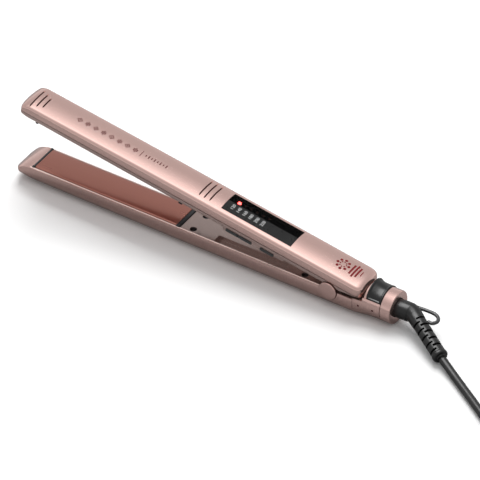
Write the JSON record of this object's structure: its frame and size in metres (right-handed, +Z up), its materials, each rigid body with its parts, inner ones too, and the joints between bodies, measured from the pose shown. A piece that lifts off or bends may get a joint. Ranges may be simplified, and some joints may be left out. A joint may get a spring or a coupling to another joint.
{
  "type": "flat iron hair straightener",
  "caption": "Hinged flat iron with slim rose-gold arms, floating heated plates, a lamp scale, side buttons, a lock slider and a swivel mains cord.",
  "frame": {"origin": "on the surface that the lower arm lies on, under the middle of the body without its cord", "axes": "+X from the plate tips to the cord end, +Y away from the side with the buttons, +Z up"},
  "size_m": [0.532, 0.1163, 0.0723],
  "materials": {
    "shell_paint": "rose-gold metallic paint, satin gloss",
    "inner_paint": "darker rose metallic paint",
    "plate_coating": "copper-coloured ceramic coating, polished",
    "black_plastic": "fine satin",
    "window": "high gloss, smoked",
    "panel_grey": "satin",
    "button_grey": "satin",
    "lamp": "clear red",
    "cord_rubber": "satin",
    "loop_plastic": "satin",
    "steel": "ground",
    "screw_steel": "blackened",
    "brass": "bright",
    "board": "solder mask",
    "silicone": "matt",
    "heater": "ceramic",
    "plug_dark_red": "satin"
  },
  "bodies": {
    "lower_arm": {"lower_shell": "shell_paint", "lower_inner_cover": "inner_paint", "lower_plate_holder": "black_plastic", "lower_cushion_front": "silicone", "lower_cushion_rear": "silicone", "lower_screw_1": "screw_steel", "lower_screw_2": "screw_steel", "lower_screw_3": "screw_steel", "lower_screw_4": "screw_steel", "lower_heater_lead": "cord_rubber", "hinge_pin": "steel", "hinge_cap_near": "shell_paint", "hinge_cap_far": "shell_paint", "opening_spring": "steel", "rear_top_cover": "shell_paint", "end_ring": "shell_paint", "swivel_contact_block": "black_plastic", "side_plug_1": "plug_dark_red", "side_plug_2": "plug_dark_red", "cord_lead_in": "cord_rubber", "cord_coil": "cord_rubber", "cord_lead_out": "cord_rubber", "cord_tie": "black_plastic", "plug_body": "cord_rubber", "plug_pin_1": "brass", "plug_pin_2": "brass"},
    "upper_arm": {"upper_shell": "shell_paint", "upper_tray": "inner_paint", "upper_plate_holder": "black_plastic", "upper_cushion_front": "silicone", "upper_cushion_rear": "silicone", "upper_screw_1": "screw_steel", "upper_screw_2": "screw_steel", "upper_screw_3": "screw_steel", "upper_screw_4": "screw_steel", "display_window": "window", "scale_panel": "panel_grey", "control_board": "board", "switch_board": "board", "lamp_1": "lamp", "lamp_2": "lamp", "lamp_3": "lamp", "lamp_4": "lamp", "lamp_5": "lamp", "lamp_6": "lamp"},
    "lower_plate": {"lower_plate": "plate_coating", "lower_heater": "heater"},
    "upper_plate": {"upper_plate": "plate_coating", "upper_heater": "heater"},
    "button_plus": {"button_plus": "button_grey"},
    "button_minus": {"button_minus": "button_grey"},
    "button_power": {"button_power": "button_grey"},
    "lock_slider": {"lock_slider": "black_plastic"},
    "cord_swivel": {"swivel_spool": "brass", "cord_boot": "cord_rubber", "hanging_loop": "loop_plastic"}
  },
  "joints": [
    {"name": "arm_hinge", "type": "hinge", "parent": "lower_arm", "child": "upper_arm", "pos_m": [0.10825, 0, 0.0154], "axis": [0, 1, 0], "range_deg": [-9.2, 0], "stiffness_Nm_per_rad": 0.6, "springref_deg": 20.05},
    {"name": "lower_plate_float", "type": "slide", "parent": "lower_arm", "child": "lower_plate", "axis": [0, 0, -1], "range_m": [0, 0.0006], "stiffness_N_per_m": 3000, "springref_m": -0.0005},
    {"name": "upper_plate_float", "type": "slide", "parent": "upper_arm", "child": "upper_plate", "axis": [0.1599, 0, 0.9871], "range_m": [0, 0.0006], "stiffness_N_per_m": 3000, "springref_m": -0.0005},
    {"name": "button_plus_press", "type": "slide", "parent": "upper_arm", "child": "button_plus", "axis": [0, 1, 0], "range_m": [0, 0.0006], "stiffness_N_per_m": 1500, "springref_m": -0.0003},
    {"name": "button_minus_press", "type": "slide", "parent": "upper_arm", "child": "button_minus", "axis": [0, 1, 0], "range_m": [0, 0.0006], "stiffness_N_per_m": 1500, "springref_m": -0.0003},
    {"name": "button_power_press", "type": "slide", "parent": "upper_arm", "child": "button_power", "axis": [0, 1, 0], "range_m": [0, 0.0006], "stiffness_N_per_m": 1500, "springref_m": -0.0003},
    {"name": "lock_slide", "type": "slide", "parent": "lower_arm", "child": "lock_slider", "axis": [-1, 0, 0], "range_m": [0, 0.002]},
    {"name": "cord_swivel_turn", "type": "hinge", "parent": "lower_arm", "child": "cord_swivel", "pos_m": [0.16875, 0, 0.0128], "axis": [-1, 0, 0], "continuous": true}
  ]
}
